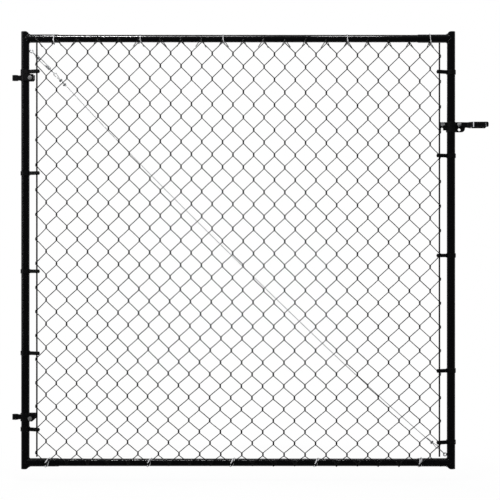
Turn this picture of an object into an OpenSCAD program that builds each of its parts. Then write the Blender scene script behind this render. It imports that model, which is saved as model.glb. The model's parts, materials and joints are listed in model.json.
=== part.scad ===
// Chain link walk gate leaf: welded corner uprights, telescoping rails, woven fabric,
// tension rods and bands, frame hinges, fork latch and a diagonal truss cable.
// X runs from the hinge side to the latch side, Z is up, and the fabric is on the -Y side.
// The origin is the underside of the lower hinge eye, on the hinge line.

/* [Leaf] */
// Width over the two uprights
leaf_w = 1816; // [1200:1:2200]
// Height of the uprights
leaf_h = 1829; // [1500:1:2100]
// Outside diameter of the uprights and stubs
tube_od = 34.9; // [32:0.1:42]
// Wall of the uprights and stubs
tube_wall = 1.5; // [1.2:0.1:1.6]
// Wall of the telescoping rails
rail_wall = 1.3; // [1:0.1:2.5]
// Slip between a rail and the stub round it
rail_slip = 0.05; // [0.02:0.01:0.3]
// How far an upright stands over the top stub
over_top = 11.5; // [8:0.5:40]
// How far an upright hangs under the bottom stub
over_bottom = 9.5; // [8:0.5:40]
// Length of a stub, from the face of the upright
stub_len = 122; // [100:1:220]
// Length of rail held inside a stub
rail_grip = 80; // [40:1:95]
// Radius of the sloped shoulder at each end of an upright
shoulder_r = 16; // [8:0.5:17]
// Thickness of the flat top of an end cap
cap_lip = 2.5; // [1.5:0.1:5]
// Depth of an end cap's plug
cap_plug = 24; // [18:1:60]
// Clearance between a rail screw's head and a tie
screw_room = 0.5; // [0.2:0.1:5]
// Shank of a rail screw
screw_d = 4.8; // [3:0.1:6]

/* [Fabric] */
// Number of pickets, which is also the number of half diamonds across
pickets = 39; // [13:2:61]
// Number of half diamonds from rail to rail
half_rows = 35; // [15:2:61]
// Thickness of a fabric wire with its coating
wire_d = 3.3; // [2:0.1:4]
// Height of a knuckle where two pickets hook together
knuckle_h = 14; // [8:0.5:18]
// Width of a hooked knuckle
knuckle_w = 4.4; // [3:0.1:6]
// Drop from the top rail's axis to the first knuckle on the hinge side
mesh_drop = 3; // [0:1:20]
// How much taller the top diamonds are than the average one
mesh_stretch = 0.055; // [0:0.005:0.1]
// How far the fabric falls from the hinge side to the latch side at its top
mesh_fall = 21; // [0:1:30]
// Length of a bent back wire end along the selvage
tail_len = 18; // [8:1:30]
// Gap between the fabric and the front of the stubs
mesh_gap = 0.4; // [0.2:0.1:4]

/* [Stretching] */
// Diameter of the rods woven through the fabric's ends
rod_d = 4.5; // [3:0.1:6]
// Distance from an upright's axis to its rod
rod_offset = 51.5; // [46:0.5:70]
// Strap thickness of the tension bands
band_t = 2.8; // [1.5:0.1:4]
// Height of a tension band round the upright
band_h = 18; // [14:0.5:30]
// Height of a tension band's two arms
arm_h = 15; // [12:0.5:30]
// Diameter of a band bolt
band_bolt_d = 5; // [4:0.5:8]
// Wire thickness of the rail ties
tie_d = 3; // [2:0.1:4.5]

/* [Hinges] */
// Distance from the upright's axis to the hinge line
hinge_reach = 42; // [38:0.5:60]
// Height of the lower eye's underside over the upright's foot
hinge_low = 206; // [150:1:400]
// Distance from the upper eye's underside to the upright's top
hinge_top = 205.5; // [150:0.5:400]
// Distance from the upper eye's underside up to the tension band over it
band_over_hinge = 37.232; // [37:0.001:60]
// Distance from the lower eye's underside down to the tension band under it
band_under_hinge = 39.561; // [39:0.001:60]
// Outside diameter of a hinge eye
eye_od = 25; // [22:0.5:34]
// Bore of a hinge eye
eye_bore = 16; // [10:0.5:18]
// Height of a hinge eye
eye_h = 23; // [20:0.5:34]
// Plate thickness of the hinge and latch clamps
clamp_t = 3; // [2:0.1:5]
// Gap between the two ears of a clamp
clamp_gap = 4; // [2:0.5:8]
// Diameter of the clamp bolts
clamp_bolt_d = 7.9; // [6:0.1:9]

/* [Latch] */
// Height of the fork's pivot over the foot of the upright
latch_z = 1440; // [700:1:1500]
// Distance from the upright's axis to the fork's pivot
latch_reach = 34; // [33:0.5:60]
// Diameter of the pivot bolt
pivot_d = 7.9; // [6:0.1:10]
// Inside width between the fork's two tines
fork_gap = 63; // [50:1:90]
// Length of the fork beyond its pivot
fork_len = 118; // [105:1:160]
// Plate thickness of the fork
fork_t = 3; // [2:0.1:5]
// Height of the fork's tines
fork_h = 22; // [16:0.5:24]
// Diameter of the padlock hole
lock_hole_d = 12; // [8:0.5:13]

/* [Truss cable] */
// Diameter of the cable
cable_d = 3; // [2:0.1:4]
// Length of the turnbuckle's body
buckle_len = 80; // [60:1:140]
// Major radius of the eyes along the cable
link_r = 6.5; // [6:0.1:10]
// Thickness of the eyes along the cable
link_d = 4; // [3:0.1:5]
// Drop from the top stub to the upper corner eye
anchor_drop = 35; // [25:1:80]

/* [Hidden] */
$fn = 48;

black = [0.03, 0.03, 0.035];
zinc = [0.62, 0.63, 0.64];
tube_r = tube_od / 2;
tube_in = tube_r - tube_wall;
rail_r = tube_in - rail_slip;
x_l = hinge_reach;
x_r = x_l + leaf_w - tube_od;
z_b = -hinge_low;
hinge_rise = leaf_h - hinge_low - hinge_top;
z_t = z_b + leaf_h;
z_top = z_t - over_top - tube_r;
z_bot = z_b + over_bottom + tube_r;

layer_gap = rod_d + 0.4;
fabric_t = 2 * wire_d + layer_gap;
y_m = -(tube_r + mesh_gap + fabric_t / 2);
x_c0 = x_l + rod_offset - rod_d / 2 - 0.1 - knuckle_w / 2;
x_cn = x_r - rod_offset + rod_d / 2 + 0.1 + knuckle_w / 2;
pitch = (x_cn - x_c0) / pickets;
mesh_top = z_top - mesh_drop;
mesh_span = mesh_top - z_bot + wire_d;
seams = [0, 10, 20, 30, 39];

band_angle = atan2(-y_m, rod_offset);
band_d = sqrt(y_m * y_m + rod_offset * rod_offset);
band_gap = rod_d + 0.3;
band_bolt_u = band_d + rod_d / 2 + band_bolt_d / 2 + 0.2;
band_end = band_bolt_u + band_bolt_d / 2 + 2;
left_bands = [hinge_rise + band_over_hinge, for (s = [0.676, 0.452, 0.265]) z_b + s * leaf_h,
  -band_under_hinge];
top_tie_columns = [2, 10, 18, 30, 38];
bottom_tie_columns = [1, 11, 19, 27, 37];

hinge_bolt_x = tube_r + clamp_bolt_d / 2 + 0.3;
hinge_bolt_rise = 11.5;
latch_bolt_x = -35.5;
latch_top = 10;
latch_h = 42;
latch_ear_h = 34;
lug_end = 58;
ear_y = clamp_gap / 2;
fork_y = ear_y + clamp_t + 0.3;
z_pivot = z_b + latch_z;
latch_mid = z_pivot + latch_top - latch_h / 2;
right_bands = [for (s = [0.907, 0.716, 0.488, 0.225, 0.0615])
  clear_of(z_b + s * leaf_h, latch_mid, (latch_h + band_h) / 2 + 3)];

// How far a rail screw stands from its upright's axis: half the rail's grip, clear of the ties
screw_head_d = 2.1 * screw_d;
tie_clear = (screw_head_d + tie_d) / 2 + screw_room;
screw_u = clear_of(clear_of(tube_r + stub_len - rail_grip / 2, col_x(1) - x_l, tie_clear),
  col_x(2) - x_l, tie_clear);

eye_l = [x_l + tube_r + link_r + link_d / 2 - 0.6, z_top - tube_r - anchor_drop];
eye_r = [x_r - tube_r - link_r - link_d / 2 + 0.6, z_bot + tube_r + anchor_drop * 0.45];
cable_angle = atan2(eye_l[1] - eye_r[1], eye_r[0] - eye_l[0]);
cable_span = norm(eye_r - eye_l);
link_step = 2 * link_r - link_d - 0.1;
buckle_u = 28;
lower_eye_u = buckle_u + buckle_len + 22;
loop_r = 6;
loop_u = lower_eye_u + link_r + loop_r - link_d / 2 - cable_d / 2 - 0.1;
link_len = 26;
link_u = cable_span - link_step;
end_loop_u = link_u - link_len - link_r - loop_r + link_d / 2 + cable_d / 2 + 0.1;
leg = 24;
tail = 62;

// A place moved off another one that it would come closer to than room
function clear_of(at, other, room) =
  abs(at - other) >= room ? at : other + (at < other ? -room : room);

function col_x(c) = x_c0 + c * pitch;
function row_z(c, r) =
  let (f = r / half_rows)
  mesh_top - mesh_span * ((1 + mesh_stretch) * f - mesh_stretch * f * f)
    - mesh_fall * c / pickets * (1 - 0.4 * f)
    + (r == half_rows ? 6 * c / pickets : 0);

module along_x(len) {
  rotate([0, 90, 0])
    linear_extrude(height = len)
      children();
}

module along_y(len) {
  rotate([90, 0, 0])
    linear_extrude(height = len, center = true)
      children();
}

// A screw or bolt axis that runs from front to back
module pin_y(d, len) {
  rotate([90, 0, 0])
    cylinder(d = d, h = len, center = true);
}

module tube_z(od, wall, z0, z1) {
  translate([0, 0, z0])
    difference() {
      cylinder(d = od, h = z1 - z0);
      translate([0, 0, -1])
        cylinder(d = od - 2 * wall, h = z1 - z0 + 2);
    }
}

// What is cut from an upright's end to slope its inner shoulder, for an end at z = 0
module shoulder_cut() {
  translate([tube_r - shoulder_r, 0, -shoulder_r])
    difference() {
      translate([0, -tube_od, 0])
        cube([shoulder_r + 5, 2 * tube_od, shoulder_r + 5]);
      rotate([90, 0, 0])
        cylinder(r = shoulder_r, h = 5 * tube_od, center = true);
    }
}

module upright() {
  difference() {
    tube_z(tube_od, tube_wall, z_b + cap_lip, z_t - cap_lip);
    translate([0, 0, z_t])
      shoulder_cut();
    translate([0, 0, z_b])
      mirror([0, 0, 1])
        shoulder_cut();
  }
}

module end_cap() {
  difference() {
    union() {
      translate([0, 0, -cap_lip])
        cylinder(d = tube_od, h = cap_lip);
      translate([0, 0, -cap_plug])
        cylinder(r = tube_in - 0.05, h = cap_plug);
    }
    shoulder_cut();
    translate([0, 0, -cap_plug - 1])
      cylinder(r = tube_in - 2, h = cap_plug - shoulder_r - 1);
  }
}

module stub() {
  difference() {
    along_x(tube_r + stub_len)
      circle(d = tube_od);
    translate([-1, 0, 0])
      along_x(tube_r + stub_len + 2)
        circle(r = tube_in);
    cylinder(d = tube_od, h = 3 * tube_od, center = true);
    screw_hole();
  }
}

// The rail screw goes in at the back, about halfway along the rail's grip
module screw_hole() {
  translate([screw_u, tube_r, 0])
    pin_y(screw_d, 2 * tube_wall + 2 * rail_wall + 4);
}

module rail() {
  x0 = x_l + tube_r + stub_len - rail_grip;
  x1 = x_r - tube_r - stub_len + rail_grip;
  difference() {
    translate([x0, 0, 0])
      along_x(x1 - x0)
        circle(r = rail_r);
    translate([x0 - 1, 0, 0])
      along_x(x1 - x0 + 2)
        circle(r = rail_r - rail_wall);
    translate([x_l, 0, 0])
      screw_hole();
    translate([x_r, 0, 0])
      mirror([1, 0, 0])
        screw_hole();
  }
}

module rail_screw() {
  translate([screw_u, 0, 0]) {
    translate([0, tube_r - 2 - rail_wall, 0])
      rotate([-90, 0, 0])
        cylinder(d = screw_d, h = rail_wall + 4);
    translate([0, tube_r + 0.2, 0])
      rotate([-90, 0, 0])
        cylinder(d = screw_head_d, h = 1.2);
    translate([0, tube_r + 1.4, 0])
      rotate([-90, 0, 0])
        cylinder(d = 1.6 * screw_d, h = 3, $fn = 6);
  }
}

module left_upright() {
  color(black)
    translate([x_l, 0, 0])
      upright();
}

module right_upright() {
  color(black)
    translate([x_r, 0, 0])
      mirror([1, 0, 0])
        upright();
}

module top_left_stub() {
  color(black)
    translate([x_l, 0, z_top])
      stub();
}

module top_right_stub() {
  color(black)
    translate([x_r, 0, z_top])
      mirror([1, 0, 0])
        stub();
}

module bottom_left_stub() {
  color(black)
    translate([x_l, 0, z_bot])
      stub();
}

module bottom_right_stub() {
  color(black)
    translate([x_r, 0, z_bot])
      mirror([1, 0, 0])
        stub();
}

module top_left_cap() {
  color(black)
    translate([x_l, 0, z_t])
      end_cap();
}

module top_right_cap() {
  color(black)
    translate([x_r, 0, z_t])
      mirror([1, 0, 0])
        end_cap();
}

module bottom_left_cap() {
  color(black)
    translate([x_l, 0, z_b])
      mirror([0, 0, 1])
        end_cap();
}

module bottom_right_cap() {
  color(black)
    translate([x_r, 0, z_b])
      mirror([0, 0, 1])
        mirror([1, 0, 0])
          end_cap();
}

module top_rail() {
  color(black)
    translate([0, 0, z_top])
      rail();
}

module bottom_rail() {
  color(black)
    translate([0, 0, z_bot])
      rail();
}

module rail_screws() {
  color(black)
    for (z = [z_top, z_bot]) {
      translate([x_l, 0, z])
        rail_screw();
      translate([x_r, 0, z])
        mirror([1, 0, 0])
          rail_screw();
    }
}

// One straight run of a picket, in the front or the back layer of the fabric
module run(x0, z0, x1, z1, y) {
  w = x1 - x0;
  h = z1 - z0;
  translate([x0, y, z0])
    rotate([0, -atan2(h, w), 0])
      translate([0, -wire_d / 2, -wire_d / 2])
        cube([sqrt(w * w + h * h), wire_d, wire_d]);
}

// A picket is one wire: it slopes down to the right in front and to the left behind,
// and every knuckle ties the two layers together
module picket(p, first) {
  y_run = layer_gap / 2 + wire_d / 2;
  x0 = first ? col_x(p) + knuckle_w / 2 + wire_d / 2 + 0.2 : col_x(p);
  x1 = col_x(p + 1);
  for (r = [0 : half_rows - 1]) {
    falls = (p + r) % 2 == 0;
    za = row_z(falls ? p : p + 1, r) - knuckle_h / 2 + wire_d / 2;
    zb = row_z(falls ? p + 1 : p, r + 1) + knuckle_h / 2 - wire_d / 2;
    if (falls)
      run(x0, za, x1, zb, y_m - y_run);
    else
      run(x0, zb, x1, za, y_m + y_run);
  }
}

module knuckles(c) {
  for (r = [0 : half_rows])
    if ((c + r) % 2 == 0)
      translate([col_x(c), y_m, row_z(c, r)])
        cube([knuckle_w, fabric_t + 0.2, knuckle_h], center = true);
}

// The cut wire ends are hooked over each other and bent back at the outermost knuckles
module selvage(c) {
  top = c % 2 == 0;
  for (side = [-1, 1])
    if (c + side >= 0 && c + side <= pickets)
      translate([col_x(c), y_m + (top ? side : -side) * (layer_gap + wire_d) / 2,
        row_z(c, top ? 0 : half_rows)])
        rotate([0, side * (top ? 64 : -64), 0])
          translate([side > 0 ? 0 : -tail_len, -wire_d / 2, -wire_d / 2])
            cube([tail_len, wire_d, wire_d]);
}

module band_room(zs, x, out) {
  for (z = zs)
    translate([x + (out > 0 ? -8 : 8 - rod_offset - 20), y_m - fabric_t, z - arm_h / 2 - 0.6])
      cube([rod_offset + 20, 2 * fabric_t, arm_h + 1.2]);
}

module fabric(k) {
  a = seams[k];
  b = seams[k + 1];
  difference() {
    union() {
      for (p = [a : b - 1])
        picket(p, p == a && a > 0);
      for (c = [(a == 0 ? 0 : a + 1) : b]) {
        knuckles(c);
        selvage(c);
      }
    }
    if (k == 0)
      band_room(left_bands, x_l, 1);
    if (k == 3)
      band_room(right_bands, x_r, -1);
  }
}

module fabric_a() {
  color(black)
    fabric(0);
}

module fabric_b() {
  color(black)
    fabric(1);
}

module fabric_c() {
  color(black)
    fabric(2);
}

module fabric_d() {
  color(black)
    fabric(3);
}

module rod() {
  translate([0, y_m, z_bot + tube_r + 9])
    cylinder(d = rod_d, h = z_top - z_bot - 2 * tube_r - 11);
}

module left_tension_rod() {
  color(black)
    translate([x_l + rod_offset, 0, 0])
      rod();
}

module right_tension_rod() {
  color(black)
    translate([x_r - rod_offset, 0, 0])
      rod();
}

// A strap round the upright, turned so that its arms close over the rod
module band() {
  rotate([0, 0, -band_angle])
    translate([0, 0, -band_h / 2])
      difference() {
        union() {
          cylinder(r = tube_r + band_t, h = band_h);
          translate([0, -band_gap / 2 - band_t, (band_h - arm_h) / 2])
            cube([band_end, band_gap + 2 * band_t, arm_h]);
        }
        translate([0, 0, -1])
          cylinder(r = tube_r, h = band_h + 2);
        translate([0, -band_gap / 2, -1])
          cube([band_end + 1, band_gap, band_h + 2]);
        translate([band_bolt_u, 0, band_h / 2])
          pin_y(band_bolt_d, 40);
      }
}

module band_bolt() {
  half = band_gap / 2 + band_t;
  rotate([0, 0, -band_angle])
    translate([band_bolt_u, 0, 0]) {
      translate([0, 1.5, 0])
        pin_y(band_bolt_d, 2 * half + 9);
      translate([0, -half - 1.4, 0])
        pin_y(2.6 * band_bolt_d, 2.8);
      translate([0, half + 2.1, 0])
        rotate([90, 0, 0])
          cylinder(d = 1.85 * band_bolt_d, h = 4.2, center = true, $fn = 6);
    }
}

module left_tension_bands() {
  color(black)
    for (z = left_bands)
      translate([x_l, 0, z])
        band();
}

module right_tension_bands() {
  color(black)
    for (z = right_bands)
      translate([x_r, 0, z])
        mirror([1, 0, 0])
          band();
}

module left_band_bolts() {
  color(black)
    for (z = left_bands)
      translate([x_l, 0, z])
        band_bolt();
}

module right_band_bolts() {
  color(black)
    for (z = right_bands)
      translate([x_r, 0, z])
        mirror([1, 0, 0])
          band_bolt();
}

// Points round a belt over two circles in the YZ plane: the rail and a knuckle
function belt(c1, r1, c2, r2) =
  let (
    v = c2 - c1,
    a = atan2(v[1], v[0]),
    t = acos((r1 - r2) / norm(v))
  )
  concat(
    [for (i = [0 : 20]) let (q = a + t + i * (360 - 2 * t) / 20) c1 + r1 * [cos(q), sin(q)]],
    [for (i = [0 : 12]) let (q = a - t + i * 2 * t / 12) c2 + r2 * [cos(q), sin(q)]]
  );

module wire_belt(c1, r1, c2, r2, d) {
  rotate([90, 0, 90])
    linear_extrude(height = d, center = true)
      difference() {
        polygon(belt(c1, r1 + d / 2, c2, r2 + d / 2));
        polygon(belt(c1, r1 - d / 2, c2, r2 - d / 2));
      }
}

module tie(c, r, z_rail) {
  y_b = y_m + 5;
  on_stub = min(col_x(c) - x_l, x_r - col_x(c)) < tube_r + stub_len;
  on_what = on_stub ? tube_r : rail_r;
  far = sqrt(pow(fabric_t / 2 + 5, 2) + pow(knuckle_h / 2 + wire_d, 2));
  translate([col_x(c), 0, 0])
    wire_belt([0, z_rail], on_what + tie_d / 2 + 0.1, [y_b, row_z(c, r)],
      far + tie_d / 2 + 0.2, tie_d);
}

module top_ties() {
  color(zinc)
    for (c = top_tie_columns)
      tie(c, 0, z_top);
}

module bottom_ties() {
  color(zinc)
    for (c = bottom_tie_columns)
      tie(c, half_rows, z_bot);
}

// A clamp plate's outline from above: half a ring with an ear on each side
module clamp_plan(inner, outer) {
  difference() {
    union() {
      circle(r = tube_r + clamp_t);
      translate([inner, -ear_y - clamp_t])
        square([outer - inner, clamp_t]);
    }
    circle(r = tube_r);
    translate([-100, -ear_y])
      square([200, 100]);
  }
}

// A hinge strap: a U bent round the upright, with the eye welded to its back
module hinge(z0, h, reach, slant) {
  r = tube_r + clamp_t;
  difference() {
    union() {
      translate([0, 0, z0])
        linear_extrude(height = h)
          difference() {
            union() {
              circle(r = r);
              translate([0, -r])
                square([reach, 2 * r]);
            }
            circle(r = tube_r);
            translate([0, -tube_r])
              square([reach + 1, 2 * tube_r]);
          }
      for (s = [-1, 1])
        translate([-hinge_reach, s * (eye_od / 2 - 3.2) - clamp_t / 2, 2])
          cube([hinge_reach - 12, clamp_t, eye_h - 4]);
      translate([-hinge_reach, 0, 0])
        cylinder(d = eye_od, h = eye_h);
    }
    translate([0, 0, z0 - 1])
      cylinder(r = tube_r, h = h + 2);
    translate([-hinge_reach, 0, -5])
      cylinder(d = eye_bore, h = eye_h + 10);
    translate([hinge_bolt_x, 0, z0 + hinge_bolt_rise])
      pin_y(clamp_bolt_d, 80);
    translate([reach, 0, z0])
      rotate([0, 45, 0])
        cube([slant, 80, slant], center = true);
  }
}

// A carriage bolt from front to back through plates whose outer faces are half apart
module clamp_bolt(half, spare) {
  translate([0, spare / 2, 0])
    pin_y(clamp_bolt_d, 2 * half + spare);
  translate([0, -half, 0])
    rotate([90, 0, 0])
      cylinder(d = 2.3 * clamp_bolt_d, h = 1.6);
  translate([0, -half - 1.6, 0])
    rotate([90, 0, 0])
      cylinder(d1 = 2.3 * clamp_bolt_d, d2 = 1.3 * clamp_bolt_d, h = 2.2);
  translate([0, half, 0])
    rotate([-90, 0, 0])
      cylinder(d = 1.85 * clamp_bolt_d, h = 6, $fn = 6);
}

module upper_hinge() {
  color(black)
    translate([x_l, 0, hinge_rise])
      hinge(-1, 27, 37, 8);
}

module lower_hinge() {
  color(black)
    translate([x_l, 0, 0])
      hinge(-6, 33, 44, 18);
}

module upper_hinge_bolt() {
  color(zinc)
    translate([x_l + hinge_bolt_x, 0, hinge_rise - 1 + hinge_bolt_rise])
      clamp_bolt(tube_r + clamp_t, 9);
}

module lower_hinge_bolt() {
  color(zinc)
    translate([x_l + hinge_bolt_x, 0, -6 + hinge_bolt_rise])
      clamp_bolt(tube_r + clamp_t, 9);
}

// Half of the latch clamp: ear, half ring and lug, for the front side
module latch_half() {
  difference() {
    translate([0, 0, latch_top - latch_h])
      linear_extrude(height = latch_h)
        clamp_plan(-51, lug_end);
    translate([-60, -40, latch_top - latch_h - 1])
      cube([60 - tube_r - clamp_t, 80, latch_h - latch_ear_h + 1]);
    translate([latch_bolt_x, 0, 1.5])
      pin_y(clamp_bolt_d, 100);
    translate([latch_bolt_x - 2, 0, latch_top - latch_ear_h + 6.5])
      pin_y(9, 100);
    translate([latch_bolt_x - 6.5, -50, latch_top - latch_ear_h - 1])
      cube([9, 100, 7.5]);
    translate([latch_reach, 0, 0])
      pin_y(pivot_d, 100);
    translate([latch_reach, 0, -21.7])
      pin_y(lock_hole_d, 100);
    translate([lug_end - 15, 0, latch_top - latch_h + 15])
      difference() {
        translate([0, -50, -20])
          cube([20, 100, 20]);
        pin_y(30, 110);
      }
    translate([lug_end - 6, 0, latch_top - 6])
      difference() {
        translate([0, -50, 0])
          cube([20, 100, 20]);
        pin_y(12, 110);
      }
  }
}

module latch_clamp_front() {
  color(black)
    translate([x_r, 0, z_pivot])
      latch_half();
}

module latch_clamp_back() {
  color(black)
    translate([x_r, 0, z_pivot])
      mirror([0, 1, 0])
        latch_half();
}

module latch_clamp_bolt() {
  color(black)
    translate([x_r + latch_bolt_x, 0, z_pivot + 1.5])
      clamp_bolt(ear_y + clamp_t, 9);
}

module latch_pivot_bolt() {
  reach = fork_y + fork_t + 0.3;
  color(black)
    translate([x_r + latch_reach, 0, z_pivot]) {
      translate([0, 3, 0])
        pin_y(pivot_d, 2 * reach + 6);
      translate([0, -reach, 0])
        rotate([90, 0, 0])
          cylinder(d = 2.1 * pivot_d, h = 1.6);
      translate([0, -reach - 1.6, 0])
        rotate([90, 0, 0])
          cylinder(d1 = 2.1 * pivot_d, d2 = 1.2 * pivot_d, h = 2);
      translate([0, reach, 0])
        rotate([-90, 0, 0])
          cylinder(d = 1.85 * pivot_d, h = 5.5, $fn = 6);
    }
}

// One tine from above, from the pivot out past the gatepost
module tine_plan() {
  y0 = fork_y;
  y1 = fork_gap / 2;
  t = fork_t;
  polygon([[-10, -y0], [35, -y0], [50, -y1 + 4], [54, -y1], [fork_len - 17, -y1],
    [fork_len - 12, -y1 - 2], [fork_len, -y1 - 2], [fork_len, -y1 - 2 - t],
    [fork_len - 13, -y1 - 2 - t], [fork_len - 18, -y1 - t], [52, -y1 - t],
    [47, -y1 + 2 - t], [33, -y0 - t], [-10, -y0 - t]]);
}

// A tine from the side, with its rounded ends
module tine_side() {
  low = -fork_h + 9.5;
  union() {
    circle(r = 9.5);
    translate([0, -9.5])
      square([30, 19]);
    translate([24, low])
      square([fork_len - 24 - 6, fork_h]);
    translate([fork_len - 6, low + 6])
      square([6, fork_h - 12]);
    translate([fork_len - 6, low + 6])
      circle(r = 6);
    translate([fork_len - 6, low + fork_h - 6])
      circle(r = 6);
  }
}

module tine() {
  difference() {
    intersection() {
      translate([0, 0, -fork_h])
        linear_extrude(height = 2 * fork_h)
          tine_plan();
      along_y(200)
        tine_side();
    }
    pin_y(pivot_d + 0.2, 200);
  }
}

module latch_fork() {
  color(black)
    translate([x_r + latch_reach, 0, z_pivot]) {
      tine();
      mirror([0, 1, 0])
        tine();
      translate([31.5, -fork_y - 0.5, -fork_h + 9.5])
        cube([fork_t, 2 * fork_y + 1, fork_h]);
    }
}

// Everything along the truss cable is placed on its line, from the upper corner eye
module on_cable(u) {
  translate([eye_l[0], 0, eye_l[1]])
    rotate([0, cable_angle, 0])
      translate([u, 0, 0])
        children();
}

module ring_flat(r, d) {
  rotate([90, 0, 0])
    rotate_extrude()
      translate([r, 0])
        circle(d = d);
}

module ring_cross(r, d) {
  rotate_extrude()
    translate([r, 0])
      circle(d = d);
}

module bar_u(u0, u1, v, d) {
  translate([u0, 0, v])
    rotate([0, 90, 0])
      cylinder(d = d, h = u1 - u0);
}

module upper_corner_eye() {
  color(zinc)
    difference() {
      translate([eye_l[0], 0, eye_l[1]])
        ring_flat(link_r, link_d);
      translate([x_l, 0, z_b])
        cylinder(d = tube_od, h = leaf_h);
    }
}

module lower_corner_eye() {
  color(zinc)
    difference() {
      translate([eye_r[0], 0, eye_r[1]])
        ring_flat(link_r, link_d);
      translate([x_r, 0, z_b])
        cylinder(d = tube_od, h = leaf_h);
    }
}

module turnbuckle_body() {
  color(zinc)
    on_cable(buckle_u)
      difference() {
        union() {
          bar_u(0, 11, 0, 13);
          bar_u(buckle_len - 11, buckle_len, 0, 13);
          bar_u(4, buckle_len - 4, 4.6, 3.4);
          bar_u(4, buckle_len - 4, -4.6, 3.4);
        }
        bar_u(-1, buckle_len + 1, 0, 5.4);
      }
}

module turnbuckle_upper_eye() {
  color(zinc) {
    on_cable(link_step)
      ring_cross(link_r, link_d);
    on_cable(0)
      bar_u(link_step + link_r, buckle_u + 24, 0, 5.3);
  }
}

module turnbuckle_lower_eye() {
  color(zinc) {
    on_cable(lower_eye_u)
      ring_cross(link_r, link_d);
    on_cable(0)
      bar_u(buckle_u + buckle_len - 24, lower_eye_u - link_r, 0, 5.3);
  }
}

module slant_bar(u0, v0, u1, v1, d) {
  translate([u0, 0, v0])
    rotate([0, 90 - atan2(v1 - v0, u1 - u0), 0])
      cylinder(d = d, h = norm([u1 - u0, v1 - v0]));
}

// A loop at the cable's end, its two legs and the short tail that the clips hold
module cable_end(way) {
  v = cable_d / 2 + 0.05;
  ring_flat(loop_r, cable_d + 0.1);
  for (s = [-1, 1]) {
    slant_bar(way * loop_r * 0.5, s * loop_r * 0.866, way * leg, s * v, cable_d);
    translate([way * leg, 0, s * v])
      sphere(d = cable_d + 0.06);
  }
  bar_u(min(way * leg, way * tail), max(way * leg, way * tail), -way * v, cable_d);
}

module truss_cable() {
  v = cable_d / 2 + 0.05;
  color(zinc) {
    on_cable(loop_u)
      cable_end(1);
    on_cable(end_loop_u)
      cable_end(-1);
    on_cable(0)
      slant_bar(loop_u + leg, v, end_loop_u - leg, -v, cable_d);
  }
}

module clip(v) {
  room = cable_d + 0.1;
  difference() {
    union() {
      cube([9, 9, 4 * v + 3.8], center = true);
      for (s = [-1, 1])
        translate([0, 6.2, s * 2.8])
          rotate([90, 0, 0])
            cylinder(d = 4.6, h = 4, center = true, $fn = 6);
    }
    cube([20, room, 2 * v + room], center = true);
  }
}

module cable_clips() {
  v = cable_d / 2 + 0.05;
  color(zinc)
    for (u = [loop_u + leg + 8, loop_u + tail - 8, end_loop_u - leg - 8])
      on_cable(u)
        clip(v);
}

module cable_link() {
  color(zinc)
    on_cable(link_u) {
      rotate([0, 0, -90])
        rotate_extrude(angle = 180)
          translate([link_r, 0])
            circle(d = link_d);
      translate([-link_len, 0, 0])
        rotate([0, 0, 90])
          rotate_extrude(angle = 180)
            translate([link_r, 0])
              circle(d = link_d);
      for (s = [-1, 1])
        translate([0, s * link_r, 0])
          bar_u(-link_len, 0, 0, link_d);
    }
}

left_upright();
right_upright();
top_left_stub();
top_right_stub();
bottom_left_stub();
bottom_right_stub();
top_left_cap();
top_right_cap();
bottom_left_cap();
bottom_right_cap();
top_rail();
bottom_rail();
rail_screws();
fabric_a();
fabric_b();
fabric_c();
fabric_d();
left_tension_rod();
right_tension_rod();
left_tension_bands();
right_tension_bands();
left_band_bolts();
right_band_bolts();
top_ties();
bottom_ties();
upper_hinge();
lower_hinge();
upper_hinge_bolt();
lower_hinge_bolt();
latch_clamp_front();
latch_clamp_back();
latch_clamp_bolt();
latch_pivot_bolt();
latch_fork();
upper_corner_eye();
lower_corner_eye();
turnbuckle_body();
turnbuckle_upper_eye();
turnbuckle_lower_eye();
truss_cable();
cable_clips();
cable_link();
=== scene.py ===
"""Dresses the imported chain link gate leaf: weaves its fabric, ties and wire rope, fits
domed bolts and weld beads, and gives every piece its finish."""

import json
import math
import random

import bmesh
import bpy
from mathutils import Matrix, Vector


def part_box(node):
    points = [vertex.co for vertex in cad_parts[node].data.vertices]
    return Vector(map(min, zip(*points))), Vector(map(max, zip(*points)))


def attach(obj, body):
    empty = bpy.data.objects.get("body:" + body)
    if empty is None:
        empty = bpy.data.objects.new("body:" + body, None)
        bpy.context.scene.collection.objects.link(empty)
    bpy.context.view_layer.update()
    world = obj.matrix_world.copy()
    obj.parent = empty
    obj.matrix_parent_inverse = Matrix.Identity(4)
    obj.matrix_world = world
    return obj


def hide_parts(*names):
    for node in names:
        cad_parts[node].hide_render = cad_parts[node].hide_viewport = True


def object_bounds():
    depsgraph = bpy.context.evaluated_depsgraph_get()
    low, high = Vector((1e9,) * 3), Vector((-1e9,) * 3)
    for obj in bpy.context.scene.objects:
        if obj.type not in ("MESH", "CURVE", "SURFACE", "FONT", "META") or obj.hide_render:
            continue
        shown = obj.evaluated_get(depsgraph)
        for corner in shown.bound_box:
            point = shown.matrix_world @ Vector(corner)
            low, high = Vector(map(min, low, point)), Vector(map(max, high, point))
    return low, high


bl_info = {
    "name": "Chain Link Gate Dresser",
    "version": (1, 0, 0),
    "blender": (4, 5, 0),
    "location": "3D View > Sidebar > Gate",
    "description": "Weaves the fabric and finishes the hardware of a chain link gate leaf",
    "category": "Object",
}

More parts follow.
